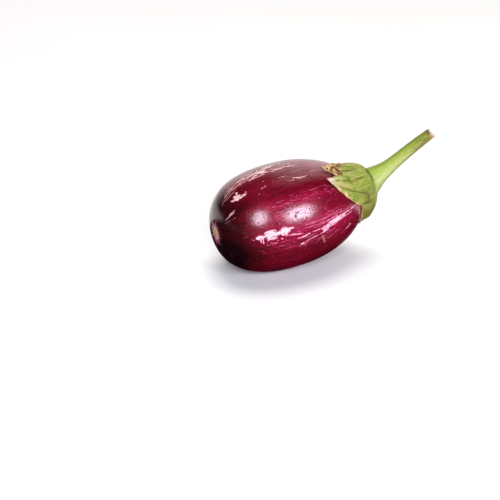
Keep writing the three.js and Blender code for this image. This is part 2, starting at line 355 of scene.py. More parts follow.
# Dark freckles: x, bearing, radius. The first rows are in the white patch, the others higher up.
FRECKLES = (
    (-17.4, 12.9, 0.6), (-18.4, 7.4, 0.55), (-20.4, 9.2, 0.35), (-22.5, 6.1, 0.5), (-25, 5.1, 0.4),
    (-14.6, 11.3, 0.35), (-15.6, 7.4, 0.5), (-23.1, 11.4, 0.45), (-21.4, 7.9, 0.35), (-11, 7.6, 0.35),
    (-16.6, 11, 0.3), (-19.2, 11, 0.3),
    (-4.9, 23, 0.75), (-4.1, 26, 0.5), (-3, 26.4, 0.5), (0.8, 18.6, 0.55), (-1.9, 18.4, 0.4),
    (-1.7, 23.8, 0.35), (-8.5, 27, 0.45), (2.2, 28, 0.35), (3.4, 27.2, 0.3), (1.2, 26.2, 0.3),
    (5.1, 24.6, 0.5), (3.8, 23.2, 0.3), (4.6, 27, 0.35), (4.2, 19.6, 0.35), (6.2, 21.6, 0.4),
    (-26.6, 29.2, 0.4), (-25.2, 31.4, 0.3), (-23.9, 34.2, 0.35), (-21.6, 30.6, 0.3),
)

# Loose pink threads beside the strokes, given in the same way.
FLECKS = (
    (3, 0.8, (-17, 39), (0, 42), (14, 43), (27, 45)),
    (3.6, 0.85, (-9, 10), (6, 12), (25, 17)),
    (3, 0.7, (2, -3), (18, 2)),
    (4, 0.8, (-15, 27), (-7, 27)),
    (4.5, 0.5, (13, 30), (24, 32), (34, 34)),
    (3, 0.6, (-12, 80), (14, 77)),
    (3.5, 0.7, (-31, 14), (-22, 4)),
    (3, 0.8, (-22, -3), (-6, -6)),
    (2.4, 0.85, (-3, -10), (8, -10), (20, -7)),
    (3, 0.5, (-20, -12), (8, -14), (26, -6)),
)
FLECKS_LEAST = 0.15
FLECKS_FROM = (12, 26)  # distances from the axis, so that the ends stay plain

# Strokes on the sides that the front view does not show: bearing, spread and number in each band.
HIDDEN_BANDS = ((122, 5, 44), (150, 6, 24), (184, 7, 60), (222, 6, 30), (254, 6, 50), (290, 5, 32))
HIDDEN_SEED = 17
HIDDEN_MIDDLE, HIDDEN_SPREAD, HIDDEN_LIMIT = -4, 14, 34  # of the strokes' middles along x
HIDDEN_REACH, HIDDEN_HALF_WIDTH, HIDDEN_WHITENESS = (1, 7), (0.25, 1), (0.45, 1)  # least and most
HIDDEN_SLOPE, HIDDEN_BOW = 0.8, 0.4  # degrees
BAND_DRIFT, BAND_DRIFT_OVER = 4, 40  # degrees that a band may turn, and over how many mm

# Where gloss is broken by fine grain: x and its spread, bearing and its spread.
GRAINY_SPOTS = ((-24, 11, 30, 20), (-1, 13, 25, 15))
GRAINY_LEAST = 0.2

NICK_X, NICK_BEARING = 10.1, rad(-11.5)
NICK_HALF_LENGTH, NICK_HALF_WIDTH, NICK_SLANT = 3.4, 0.8, 1.1

# The strands of colour gather under the calyx's middle, off the fruit's axis.
STRANDS_FROM, STRANDS_LENGTH, STRANDS_SHIFT = -40, 87, 6.5


def stroke_field(x, bearing, radius, half_width, whiteness, *places):
    """The whiteness along a stroke, falling to 0 a little outside its edges."""
    field = np.zeros_like(x)
    spans = len(places) - 1
    for span in range(spans):
        (x0, turn0), (x1, turn1) = places[span], places[span + 1]
        step = (x1 - x0, rad(turn1 - turn0) * radius)
        gap = (x - x0, wrapped(bearing - rad(turn0)) * radius)
        share = (gap[0] * step[0] + gap[1] * step[1]) / (step[0] ** 2 + step[1] ** 2)
        share = np.clip(share, 0, 1)
        away = np.hypot(gap[0] - share * step[0], gap[1] - share * step[1])
        taper = 1 - STROKE_TAPER * np.abs(2 * (span + share) / spans - 1) ** 3
        field = np.maximum(field, 1 - ease(away / (half_width * taper), *STROKE_EDGE))
    return whiteness * field


def hidden_strokes():
    """Strokes like those in front, scattered along the bands."""
    random = np.random.default_rng(HIDDEN_SEED)
    for band, spread, count in HIDDEN_BANDS:
        drift = random.uniform(-BAND_DRIFT, BAND_DRIFT)
        for _ in range(count):
            middle = np.clip(random.normal(HIDDEN_MIDDLE, HIDDEN_SPREAD), -HIDDEN_LIMIT, HIDDEN_LIMIT)
            reach = mix(*HIDDEN_REACH, random.uniform() ** 2)
            at = band + random.normal() * spread * 0.5 + drift * middle / BAND_DRIFT_OVER
            slope = random.normal() * HIDDEN_SLOPE
            bow = random.normal() * HIDDEN_BOW
            half_width = mix(*HIDDEN_HALF_WIDTH, random.uniform() ** 3)
            whiteness = random.uniform(*HIDDEN_WHITENESS)
            ends = (middle - reach, at - slope), (middle + reach, at + slope)
            yield half_width, whiteness, ends[0], (middle, at + bow), ends[1]


def blossom_rays(bearing, radius):
    """Fine pale rays round the blossom scar."""
    reach = RAY_REACH + sum(np.cos(count * bearing + phase) for count, phase in RAY_WAVES)
    return RAY_WHITENESS * (1 - ease(radius / np.maximum(reach, RAY_LEAST), *RAY_EDGE))


def fruit_tone_and_shading(x, bearing, points):
    """How light the purple is: 0 near black, 1 bright magenta. Besides the fruit's own tone it holds
    painted light on the front and painted shade low down and at the blossom end.
    """
    # How deep the painted shade at the blossom end is, by bearing.
    end_shade = 0.42 + 0.1 * near(bearing, 18, 25) - 0.2 * past(bearing, 40, 65)
    zones = (
        (0.24, past(bearing, -26, 14) * (1 - past(bearing, 37, 52))),  # painted light: the front is lighter where the lamps fall
        (0.08, near(bearing, 9, 11) * ease(x, -16, -4)),  # brightest above the streak
        (0.16, 0.5 + 0.5 * np.cos(bearing - rad(200))),  # the back
        (-0.1, 1 - past(bearing, -45, -5)),  # painted shade on the low side
        (-0.08, near(bearing, -13, 11) * ease(-x, 2, 16)),  # painted shade under the white patch
        (-0.14, near(bearing, 29, 15) * ease(x, 2, 12)),  # between streak and calyx
        (-1, end_shade * ease(-x, 17, 40)),  # painted shade at the blossom end
        (-0.12, ease(-x, 28, 37)),  # deeper painted shade at its rim
    )
    return 0.46 + sum(weight * zone for weight, zone in zones) + TONE_DRIFT(points)


def nick_field(x, bearing, radius):
    """A short corky scratch across the lower front."""
    along = wrapped(bearing - NICK_BEARING) * radius / NICK_HALF_LENGTH
    return bell(along, 1, power=4) * bell(x - NICK_X + NICK_SLANT * along, NICK_HALF_WIDTH)


def strand_space(x, points):
    """Coordinates whose z runs along the strands of colour."""
    shift = STRANDS_SHIFT * np.clip((x - STRANDS_FROM) / STRANDS_LENGTH, 0, 1) ** 2
    y = points[..., 1] + shift
    z = points[..., 2] - shift
    size = np.maximum(np.hypot(y, z), 1e-6)
    return stacked(FRUIT_RADIUS * y / size, FRUIT_RADIUS * z / size, x)


def make_fruit():
    turn = np.linspace(0, np.pi, FRUIT_ROWS)
    half = np.where(turn < np.pi / 2, BLOSSOM_HALF[0], STALK_HALF[0])
    x, bearing = np.broadcast_arrays(-np.cos(turn) * half, column_bearings(FRUIT_COLUMNS))
    around = wrapped(bearing)
    radius = profile_radius(x) * roundness(bearing)
    points = stacked(x, -radius * np.cos(bearing), radius * np.sin(bearing))
    points = points + unit(points) * (SWELL(points) * ease(radius, *SWELL_EDGE))[..., None]
    blossom = x < 0
    points[..., 0] += blossom * DIMPLE_DEPTH * bell(radius, DIMPLE_RADIUS)
    ragged = radius / (1 + SCAR_OUTLINE(points))
    scar = blossom * (1 - ease(ragged, *SCAR_EDGE))
    points[..., 0] -= SCAR_RISE * scar * (1 + SCAR_RELIEF(points))
    # What would be under the floor is pressed straight up to it.
    height = laid(points)[..., 2:]
    points = points - np.minimum(height, 0) * AXES[:, 2]

    pale = blossom * blossom_rays(around, radius)
    for stroke in (*STROKES, *hidden_strokes()):
        pale = np.maximum(pale, stroke_field(x, around, radius, *stroke))
    flecks = (FLECKS_LEAST + FLECK_DRIFT(points)) * ease(radius, *FLECKS_FROM)
    for threads in FLECKS:
        flecks = np.maximum(flecks, stroke_field(x, around, radius, *threads))
    lower_left = ease(-x, 16, 28) * (1 - past(around, -14, 2))
    return closed_mesh("fruit_skin", laid(points), {
        "pale": pale,
        "flecks": flecks * (1 - 0.7 * lower_left),
        "grainy": GRAINY_LEAST + sum(bell(x - at, length) * near(around, middle, width)
                                     for at, length, middle, width in GRAINY_SPOTS),
        # The upper side, where the strokes are cream and are greyed further by painted haze.
        "cream_and_haze": past(around, 40, 54),
        # Painted haze: the bright backdrop's reflection, painted over the upper skin.
        "painted_haze": past(around, 52, 69) * (1 - past(around, 78, 92)) * ease(x, -14, 8),
        # The fruit's tone, with painted light on the front and painted shade low down and at the blossom
        # end.
        "tone_and_shading": fruit_tone_and_shading(x, around, points),
        "scar": scar,
        "ring": blossom * (1 - ease(ragged, *RING_EDGE)),
        "nick": nick_field(x, around, radius),
        "strands": strand_space(x, points),
    })


# -------- calyx

STEPS_TO_TIP = 30
CAP_OUTER_ROWS, CAP_INNER_ROWS = 84, 30
EDGE_CROWDING = 1.25  # above 1, the outer rows crowd towards the edge
BISECTIONS = 40

EDGE_NIBBLE = Ripple(21, 3, rad(0.9))
CAP_UNEVEN = Ripple(23, 7, 0.16)
DRY_OUTLINE = Ripple(27, 3.5, rad(3))
DRY_MARGIN = Ripple(28, 3, 0.03)
COARSE_CRINKLE, FINE_CRINKLE = Ripple(31, 2.6, 0.24), Ripple(32, 1.2, 0.16)
CURL_DRIFT = Ripple(33, 3.4, 0.5)

EDGE_BLADE = 0.5  # thickness at the lobes' edge
LEAST_BLADE = 0.35
EDGE_THIN_FROM = 0.75
HUG, HUG_BEARING, HUG_SPREAD = 0.97, rad(-28), rad(40)  # where the edge lies close to the fruit
HUG_DROP, HUG_SHARES = 0.2, (0.76, 0.97)
SLIM, SLIM_BEARING, SLIM_ANGLE = 0.6, (-35, 45), (rad(20), rad(7))  # a leaner place on the dome
DRY_LOBE = 1
CRINKLE_RISE, HOLLOW_DEPTH = 0.1, 0.7
CURL, CURL_POWER = 0.5, 9  # how far the dry margins roll up
HOLLOWS = ((67.5, 70.5, 0.8), (64, 65, 0.8), (66, 57, 1), (76, 47, 1.2))  # bearing, angle, radius
HOLLOW_REACH = 18  # mm for each radian along the dry lobe
RUST_PLACE, RUST_SIZE = (rad(4), rad(31)), (rad(14), rad(3.6))  # bearing and angle
RELIEF_FROM = (rad(8), rad(20))  # angles between which the foot's smooth ring ends
MIDRIB_HEIGHT, MIDRIB_WIDTH, LOBE_REACH = 0.45, 1.5, 26
VEIN_HEIGHT, VEIN_TURNS, VEIN_SLANT = 0.07, 26, 4
CREASE_CORE = 0.6  # the share of a fold's width that holds its brown line, deepened with painted shade
CREASE_LIMIT = (0.8, 0.3)  # deepest fold, as a share of the dome's height and as mm more
# Width in mm of the painted shade in the groove where the calyx meets the stalk's foot.
BRIM_SHADE_WIDTH = 1.3
CREASES = (  # depth and half-width of each fold, and its places: bearing, angle
    (0.45, 0.6, (49, 69), (46.5, 55), (44.5, 41), (46.5, 34), (46.5, 29)),
    (0.7, 0.7, (40.5, 67), (34.5, 56), (32, 53), (24.5, 41), (14.5, 31)),
    (0.4, 0.9, (66, 50), (68, 38), (70, 28)),
    (0.5, 1.1, (116, 42), (112, 26)),
    (0.5, 1.1, (204, 46), (204, 28)),
    (0.5, 1.1, (266, 40), (264, 26)),
    (0.35, 0.8, (-8, 34), (-8, 26)),
)


def aim(up, swing):
    """The direction that rises and swings to the front from the fruit's axis."""
    return stacked(np.cos(up) * np.cos(swing), -np.sin(swing), np.sin(up) * np.cos(swing))


CAP_LINE = aim(CAP_UP, CAP_SWING)
CAP_TOP = np.array([-math.sin(CAP_UP), 0, math.cos(CAP_UP)])
CAP_FRONT = unit(np.cross(CAP_LINE, CAP_TOP))
FOOT = CAP_CENTRE + FOOT_REACH * aim(FOOT_UP, FOOT_SWING)
FOOT_NORMAL = aim(STALK_UP[0], STALK_SWING[0])


def cap_rays(angle, bearing):
    angle, bearing = angle[..., None], bearing[..., None]
    across = np.cos(bearing) * CAP_FRONT + np.sin(bearing) * CAP_TOP
    return np.cos(angle) * CAP_LINE + np.sin(angle) * across


def reach_to_skin(rays):
    inner = np.zeros(rays.shape[:-1])
    outer = np.full_like(inner, 2 * STALK_HALF[0])
    for _ in range(BISECTIONS):
        middle = (inner + outer) / 2
        inside = depth_in(CAP_CENTRE + rays * middle[..., None]) < 1
        inner = np.where(inside, middle, inner)
        outer = np.where(inside, outer, middle)
    return inner


def cap_outline():
    """Each column's bearing, angle of its edge, share from notch to tip, lift and lobe."""
    columns = []
    for index, (notch, notch_angle, tip, tip_angle, rise, fall, lift) in enumerate(LOBES):
        following, following_angle = LOBES[(index + 1) % len(LOBES)][:2]
        if following < notch:
            following += 360
        for step in range(2 * STEPS_TO_TIP):
            share = step / STEPS_TO_TIP
            if share < 1:
                bearing = mix(notch, tip, share)
                angle = mix(notch_angle, tip_angle, share ** rise)
            else:
                share = 2 - share
                bearing = mix(following, tip, share)
                angle = mix(following_angle, tip_angle, share ** fall)
            columns.append((rad(bearing), rad(angle), share, lift, index))
    return np.array(columns).T[:, :, None]


def dome_height(angle, bearing, midrib):
    top = 0.5 + 0.5 * np.cos(bearing - DOME_BEARING)
    height, width, power = (mix(low, high, top) for low, high in zip(DOME_LOWER, DOME_UPPER))
    ridge = DOME_RIDGE * np.minimum(angle / DOME_RIDGE_FROM, 1) * -np.cos(np.pi * midrib)
    return height * (1 + ridge) / (1 + (angle / width) ** power)


def relief(angle, midrib, share, places):
    """Midribs, fine veins and slow unevenness that stand up from the lobes."""
    rib = MIDRIB_HEIGHT * bell((1 - midrib) * np.sin(angle) * LOBE_REACH, MIDRIB_WIDTH)
    veins = VEIN_HEIGHT * np.sin(midrib * VEIN_TURNS + VEIN_SLANT * share)
    raised = rib * (1 - 0.6 * share) + veins * (1 - share) + CAP_UNEVEN(places)
    return raised * ease(angle, *RELIEF_FROM)


def across_cap(angle, bearing, middle):
    """How far a place on the cap is from a bearing, in mm."""
    return wrapped(bearing - middle) * FRUIT_RADIUS * np.sin(angle)


def crease_field(angle, bearing, half_width, places):
    """1 along a fold that runs through the places, 0 away from it."""
    turn, at = np.radians(places[::-1]).T
    begun = ease(angle, at[0] - 0.1, at[0] + 0.08)
    ended = ease(angle, at[-1] - 0.06, at[-1] + 0.06)
    across = across_cap(angle, bearing, np.interp(angle, at, turn))
    return bell(across, half_width) * begun * (1 - ended)


def dry_field(angle, share, midrib, lobe, places):
    """1 where the narrow lobe near the top has dried and crinkled, 0 on the fresh green."""
    tip = ease(angle + DRY_OUTLINE(places), rad(50), rad(56))
    column = np.arange(len(midrib))[:, None] % (2 * STEPS_TO_TIP)
    falling = (column >= STEPS_TO_TIP) & (midrib > 0.35)
    margin = ease(share + DRY_MARGIN(places), 0.8, 0.88)
    return (lobe == DRY_LOBE) * np.maximum(tip, falling * margin)


def hollow_field(angle, bearing):
    """1 in the sunken places between the curled ribbons of the dry lobe."""
    field = np.zeros_like(angle)
    for turn, at, size in HOLLOWS:
        away = np.hypot(across_cap(angle, bearing, rad(turn)), (angle - rad(at)) * HOLLOW_REACH)
        field = np.maximum(field, bell(away, size))
    return field


def rust_field(angle, bearing):
    """A rust-brown bruise down the shoulder, above the place where two lobes part."""
    around = bell(wrapped(bearing - RUST_PLACE[0]), RUST_SIZE[0], power=4)
    return around * bell(angle - RUST_PLACE[1], RUST_SIZE[1])


def pale_tip_field(share, midrib, lobe):
    """1 on the bleached, turned-up tip of the front lobe."""
    return (lobe == 0) * ease(share * (0.15 + 0.85 * midrib), 0.55, 1)


def make_calyx():
    bearing, edge_angle, midrib, tip_lift, lobe = cap_outline()
    # Rows run out over the top of the calyx, then back under it.
    out = 1 - (1 - np.arange(CAP_OUTER_ROWS + 1) / CAP_OUTER_ROWS) ** EDGE_CROWDING
    back = 1 - np.arange(CAP_INNER_ROWS + 1) / CAP_INNER_ROWS
    share = np.append(out, back)
    outside = np.arange(len(share)) <= CAP_OUTER_ROWS
    edge_angle = edge_angle + EDGE_NIBBLE(cap_rays(edge_angle, bearing) * FRUIT_RADIUS)
    angle = RING_ANGLE * share + (edge_angle - RING_ANGLE) * share ** 2
    rays = cap_rays(angle, bearing)
    height = dome_height(angle, bearing, midrib)
    hug = HUG * bell(wrapped(bearing - HUG_BEARING), HUG_SPREAD, power=4) * ease(share, *HUG_SHARES)
    skin = reach_to_skin(rays) + GAP - HUG_DROP * hug
    height = height * (1 - hug)
    wave = 0.5 - 0.5 * np.cos(2 * np.pi * WAVE_COUNT * midrib)
    lift = tip_lift * (share * midrib) ** LIFT_POWER + WAVE_HEIGHT * wave * share ** WAVE_POWER
    places = rays * (skin + height)[..., None]

    dry = dry_field(angle, share, midrib, lobe, places)
    hollow = hollow_field(angle, bearing)
    crinkle = COARSE_CRINKLE(places) + FINE_CRINKLE(places) + CRINKLE_RISE - HOLLOW_DEPTH * hollow
    curl = CURL * share ** CURL_POWER * (1 + CURL_DRIFT(places))
    behind = past(bearing, 72, 100)
    lift = lift * (1 - hug) + dry * (1 - 0.9 * behind) * np.maximum(crinkle + curl, 0)

    folds = [(depth * crease_field(angle, bearing, half_width, route),
              crease_field(angle, bearing, half_width * CREASE_CORE, route))
             for depth, half_width, *route in CREASES]
    depth, crease = np.max(folds, axis=0)
    blade = mix(BLADE, EDGE_BLADE, ease(share, EDGE_THIN_FROM, 1))
    outer = skin + blade + height + lift + relief(angle, midrib, share, places)
    outer = outer - np.minimum(depth, CREASE_LIMIT[0] * height + CREASE_LIMIT[1])
    slim = near(bearing, *SLIM_BEARING) * bell(angle - SLIM_ANGLE[0], SLIM_ANGLE[1])
    outer = outer - SLIM * slim
    foot_plane = (FOOT - CAP_CENTRE) @ FOOT_NORMAL / (rays @ FOOT_NORMAL)
    # Painted shade in the groove where the calyx's shoulder meets the stalk's foot, on the upper side.
    brim_shade = bell(outer - foot_plane, BRIM_SHADE_WIDTH) * ease(np.sin(bearing), 0.1, 0.7)
    outer = (outer + foot_plane - np.hypot(outer - foot_plane, SHOULDER_ROUND)) / 2
    inner = skin + height * ease(share, UNDERCUT_FROM, 1) + lift
    reach = np.where(outside, np.maximum(outer, inner + LEAST_BLADE), inner)
    return closed_mesh("calyx_lobes", laid(CAP_CENTRE + rays * reach[..., None]), {
        "share": share,
        "dry": dry,
        "hollow": hollow,
        "crease": crease,
        "brim_shade": brim_shade,
        "rust": rust_field(angle, bearing),
        "shaded": near(bearing, -38, 26) * ease(angle, rad(19), rad(28)),
        "pale_tip": pale_tip_field(share, midrib, lobe),
        "inside": ~outside,
        "fibres": stacked(20 * bearing, 8 * share, 5 * lobe),
    })


# -------- stalk

STALK_ROWS, STALK_COLUMNS = 170, 120
CUT_ROWS = 14
STALK_GRAIN = Ripple(51, 3, 0.05)
GRAIN_LOOP, GRAIN_DRAWN, GRAIN_REACH = 9, 0.35, 10  # drawn out along the stalk
TORN = Ripple(55, 1.4, 0.12)
FIBRE_LOOP = 8
# The foot runs down into the calyx as a skirt.
SKIRT_ROWS, SKIRT_DEPTH, SKIRT_SPREAD, SKIRT_REACH = 10, 3, 2.2, 0.9
# On the low side it runs smoothly into the calyx, with a waist above.
FILLET, FILLET_REACH = 1, 1.6
WAIST, WAIST_AT, WAIST_REACH = 0.7, 6, 4.5
PITH_DEPTH, PITH_EDGE = 0.35, (0.32, 0.52)
SEAM_AT, SEAM_WIDTH = 0.2, 0.9  # painted shade: the dark line where the stalk meets the calyx, on its upper side


def bend(values, along):
    foot, neck, end = values
    turned = 1 - np.exp(-along / STALK_TURN)
    sagged = ease(along, STALK_SAG_FROM, STALK_LENGTH)
    return foot + (neck - foot) * turned + (end - neck) * sagged


def stalk_headings(along):
    return aim(bend(STALK_UP, along), bend(STALK_SWING, along))


def stalk_radius(along, bearing):
    thinned = (along / STALK_LENGTH) ** THINNING_POWER
    flare = FLARE_RADIUS * np.exp(-((along / FLARE_REACH) ** FLARE_POWER))
    radius = STALK_RADIUS + STALK_THINNING * (1 - thinned) + flare
    share = mix(RIDGE_END, RIDGE_FOOT, np.exp(-along / RIDGE_REACH))
    return radius * (1 + share * np.cos(STALK_RIDGES * bearing))


def on_tube(size, bearing, at):
    """Places for noise that has no seam round the stalk."""
    return stacked(size * np.cos(bearing), size * np.sin(bearing), at)


def rim_radius(at, bearing):
    """The stalk's radius with its skirt, fillet, waist and grain."""
    above = np.maximum(at, 0)
    skirt = SKIRT_SPREAD * (1 - np.exp(np.minimum(at, 0) / SKIRT_REACH))
    fillet = FILLET * np.exp(-above / FILLET_REACH) - WAIST * bell(above - WAIST_AT, WAIST_REACH)
    low = ease(-np.sin(bearing), -0.2, 0.9)
    grain = STALK_GRAIN(on_tube(GRAIN_LOOP, bearing, GRAIN_DRAWN * at))
    grain = grain * (1 + 1.2 * np.exp(-above / GRAIN_REACH))
    return stalk_radius(above, bearing) + skirt + low * fillet + grain


def make_stalk():
    step = STALK_LENGTH / STALK_ROWS
    middles = (np.arange(STALK_ROWS) + 0.5) * step
    line = FOOT + np.vstack([np.zeros(3), np.cumsum(stalk_headings(middles) * step, 0)])
    sunk = np.linspace(-SKIRT_DEPTH, 0, SKIRT_ROWS, endpoint=False)
    line = np.vstack([FOOT + sunk[:, None] * FOOT_NORMAL, line])
    along = np.hstack([sunk, np.arange(STALK_ROWS + 1) * step])
    heading = stalk_headings(np.maximum(along, 0))
    front = unit(np.cross(heading, (0, 0, 1)))
    top = np.cross(front, heading)
    # A ring for each row, then rings that close in over the cut.
    last = len(along) - 1
    ring = np.hstack([0, np.arange(last + 1), np.full(CUT_ROWS, last)])
    close = np.hstack([0, np.ones(last + 1), 1 - (np.arange(CUT_ROWS) + 1) / CUT_ROWS])
    ended = ring == last
    on_cut = np.arange(len(ring)) > last + 1

    bearing = column_bearings(STALK_COLUMNS)
    at = along[ring]
    radius = rim_radius(at, bearing) * close
    points = line[ring] + front[ring] * (radius * np.cos(bearing))[..., None]
    points = points + top[ring] * (radius * np.sin(bearing))[..., None]
    slant = ended * CUT_SLANT * radius * np.cos(bearing - CUT_BEARING)
    pith = -PITH_DEPTH * (1 - ease(close, *PITH_EDGE))
    torn = on_cut * (pith + TORN(points) * ease(close, 0.1, 0.5))
    points = points + heading[ring] * (slant + torn)[..., None]
    return closed_mesh("stalk", laid(points), {
        "along": np.clip(at / STALK_LENGTH, 0, 1),
        "cut": on_cut,
        "from_middle": np.where(ended, close, 1),
        "upper": np.sin(bearing),
        # painted shade where the stalk meets the calyx
        "seam": bell(at - SEAM_AT, SEAM_WIDTH) * ease(np.cos(bearing - rad(100)), -0.1, 0.6),
        "fibres": on_tube(FIBRE_LOOP, bearing, at),
    })


# -------- materials

def shader_colour(colour):
    """A screen colour such as "#ad2056" in the linear values that the shader wants."""
    share = np.array([int(colour[at:at + 2], 16) for at in (1, 3, 5)]) / 255
    linear = np.where(share <= 0.04045, share / 12.92, ((share + 0.055) / 1.055) ** 2.4)
    return (*linear.tolist(), 1)


class Recipe:
    """The nodes of a material or a world. Most calls add a node and return its output socket."""

    def __init__(self, name, kind="materials"):
        self.owner = getattr(bpy.data, kind).new(name)
        self.owner.use_nodes = True
        self.tree = self.owner.node_tree

    def node(self, kind, inputs=(), **settings):
        made = self.tree.nodes.new("ShaderNode" + kind)
        for key, value in settings.items():
            setattr(made, key, value)
        return self.feed(made, dict(inputs))

    def feed(self, node, inputs):
        """Set a node's inputs to numbers, colours or other nodes' outputs."""
        for key, value in inputs.items():
            if isinstance(value, bpy.types.NodeSocket):
                self.tree.links.new(value, node.inputs[key])
            else:
                colour = isinstance(value, str)
                node.inputs[key].default_value = shader_colour(value) if colour else value
        return node

    def field(self, name, output="Fac"):
        """A value kept on the mesh, or a place with output="Vector"."""
        return self.node("Attribute", attribute_name=name).outputs[output]

    def place(self):
        return self.node("TexCoord").outputs["Object"]

    def stretched(self, vector, scale):
        return self.node("VectorMath", {0: vector, 1: scale}, operation="MULTIPLY").outputs[0]

    def noise(self, vector, scale, detail=3, roughness=0.5):
        inputs = {"Vector": vector, "Scale": scale, "Detail": detail, "Roughness": roughness}
        return self.node("TexNoise", inputs).outputs["Fac"]

    def streaks(self, vector, squeeze, scale, detail=3, roughness=0.5):
        """Noise drawn out along the vector's z."""
        return self.noise(self.stretched(vector, (1, 1, squeeze)), scale, detail, roughness)

    def cells(self, vector, scale):
        return self.node("TexVoronoi", {"Vector": vector, "Scale": scale}).outputs["Distance"]

    def math(self, operation, *values):
        return self.node("Math", dict(enumerate(values)), operation=operation).outputs[0]

    def plus(self, first, *others):
        for other in others:
            first = self.math("ADD", first, other)
        return first

    def times(self, a, b):
        return self.math("MULTIPLY", a, b)

    def swing(self, noise, reach):
        """A noise moved to lie round 0."""
        return self.times(self.math("SUBTRACT", noise, 0.5), reach)

    def ease(self, value, low, high, to_low=0, to_high=1):
        """A smooth rise or fall from one value to another."""
        inputs = {"Value": value, "From Min": low, "From Max": high, "To Min": to_low, "To Max": to_high}
        return self.node("MapRange", inputs, interpolation_type="SMOOTHSTEP").outputs["Result"]

    def paint(self, colour, *layers):
        """Colours laid over one another. A layer is its share and its colour."""
        for share, tint in layers:
            colour = self.node("Mix", {0: share, 6: colour, 7: tint}, data_type="RGBA").outputs[2]
        return colour

    def ramp(self, value, *stops):
        """A colour ramp. A stop is its position and its colour."""
        made = self.node("ValToRGB", {"Fac": value})
        elements = made.color_ramp.elements
        while len(elements) < len(stops):
            elements.new(0.5)
        for element, (position, colour) in zip(elements, stops):
            element.position = position
            element.color = shader_colour(colour)
        return made.outputs["Color"]

    def finish(self, colour, roughness, ior, *relief):
        """Feed the shader. Each relief is its height, its depth in metres and its strength."""
        under = {}
        for height, depth, strength in relief:
            bump = {"Height": height, "Distance": depth, "Strength": strength, **under}
            under = {"Normal": self.node("Bump", bump).outputs["Normal"]}
        inputs = {"Base Color": colour, "Roughness": roughness, "IOR": ior, **under}
        self.feed(self.tree.nodes["Principled BSDF"], inputs)
        return self.owner


def skin_material():
    r = Recipe("streaked_skin")
    place = r.stretched(r.place(), (1000, 1000, 1000))  # in mm
    strands = r.field("strands", "Vector")
    wisps = r.streaks(strands, 0.05, 0.42)
    threads = r.streaks(strands, 0.13, 1, roughness=0.6)
    grain = r.streaks(strands, 0.6, 1, roughness=0.6)
    hair = r.streaks(strands, 0.2, 1.5)
    speckle = r.noise(place, 1, detail=2, roughness=0.7)

    # Purple: near black through maroon and crimson to magenta, in strands. The tone it follows holds
    # painted light on the front and painted shade low down and at the blossom end.
    varied = r.plus(r.swing(wisps, 0.36), r.swing(threads, 0.5), r.swing(grain, 0.45))
    lively = r.ease(r.field("tone_and_shading"), 0, 0.4, 0.25, 1)
    purple = r.ramp(
        r.plus(r.times(varied, lively), r.field("tone_and_shading")),
        (0, "#180104"), (0.25, "#42020c"), (0.5, "#6a031c"), (0.75, "#900934"), (1, "#ad2056"),
    )
    threaded = r.ease(r.plus(r.swing(hair, 3.2), r.field("flecks")), 0.85, 1.5, 0, 0.7)
    # Up the fruit the loose threads are duller: partly their own colour, partly painted haze of the
    # bright backdrop.
    loose = r.paint("#cc5880", (r.field("cream_and_haze"), "#aa5460"))
    # Painted haze: a greyish reflection of the bright backdrop over the upper skin.
    painted_haze = r.times(r.field("painted_haze"), r.ease(threads, 0.3, 0.7, 0.2, 0.5))
    dotted = r.ease(r.noise(place, 0.13, detail=2), 0.46, 0.6)
    dots = r.times(r.ease(r.cells(place, 0.42), 0.08, 0.17, 0.35, 0), dotted)
    purple = r.paint(purple, (threaded, loose), (painted_haze, "#9c7c7a"), (dots, "#cc6c88"))

    # The pale strokes, frayed and mottled by the same noises.
    fray = r.plus(r.times(grain, 1.6), r.times(threads, 1.7), r.times(speckle, 1.9), -1.64)
    whiteness = r.times(r.field("pale"), fray)
    cream = r.ramp(whiteness, (0.3, "#b2305c"), (0.5, "#ce7090"), (0.7, "#d9a2b3"), (0.92, "#e4d2d4"))
    # Up the fruit the strokes are cream, greyed further by painted haze, the backdrop's reflection.
    hazed_cream = r.ramp(whiteness, (0.3, "#963e4a"), (0.5, "#cc8a90"), (0.7, "#d5adab"), (0.92, "#e6cec6"))
    cream = r.paint(cream, (r.field("cream_and_haze"), hazed_cream))

    # The marks: the corky scratch, the blossom scar in its ring, and the freckles.
    nick = r.ease(r.plus(r.field("nick"), r.times(grain, 0.5)), 0.6, 1.05, 0, 0.85)
    ring = r.paint("#c4a06e", (r.ease(speckle, 0.35, 0.65), "#e4d2a6"))
    cork = r.noise(strands, 2.2, detail=4)
    cork = r.ramp(cork, (0.3, "#6e4c26"), (0.55, "#ba9852"), (0.75, "#dec482"))
    scar = r.field("scar")
    freckles = 0
    for x, bearing, size in FRECKLES:
        centre = tuple(skin_at(x, rad(bearing))[0])
        away = r.node("VectorMath", {0: place, 1: centre}, operation="DISTANCE").outputs["Value"]
        freckle = r.ease(away, size * 0.6, size * 1.15, 0.85, 0)
        freckles = r.math("MAXIMUM", freckles, freckle)
    colour = r.paint(
        purple,
        (r.ease(whiteness, 0.16, 0.5), cream),
        (nick, "#b06854"),
        (r.times(r.field("ring"), 0.9), ring),
        (scar, cork),
        (freckles, "#46122c"),
    )

    orange_peel = r.noise(place, 0.8, detail=2)
    pits = r.ease(r.cells(place, 0.45), 0, 0.22)
    rough = r.times(r.ease(speckle, 0.4, 0.66, 0.02, 0.11), r.field("grainy"))
    rough = r.plus(rough, r.ease(grain, 0.3, 0.7, 0.15, 0.19), r.times(r.plus(scar, freckles), 0.5))
    return r.finish(colour, rough, 1.75, (orange_peel, 0.00005, 0.65), (pits, 0.0002, 0.35))


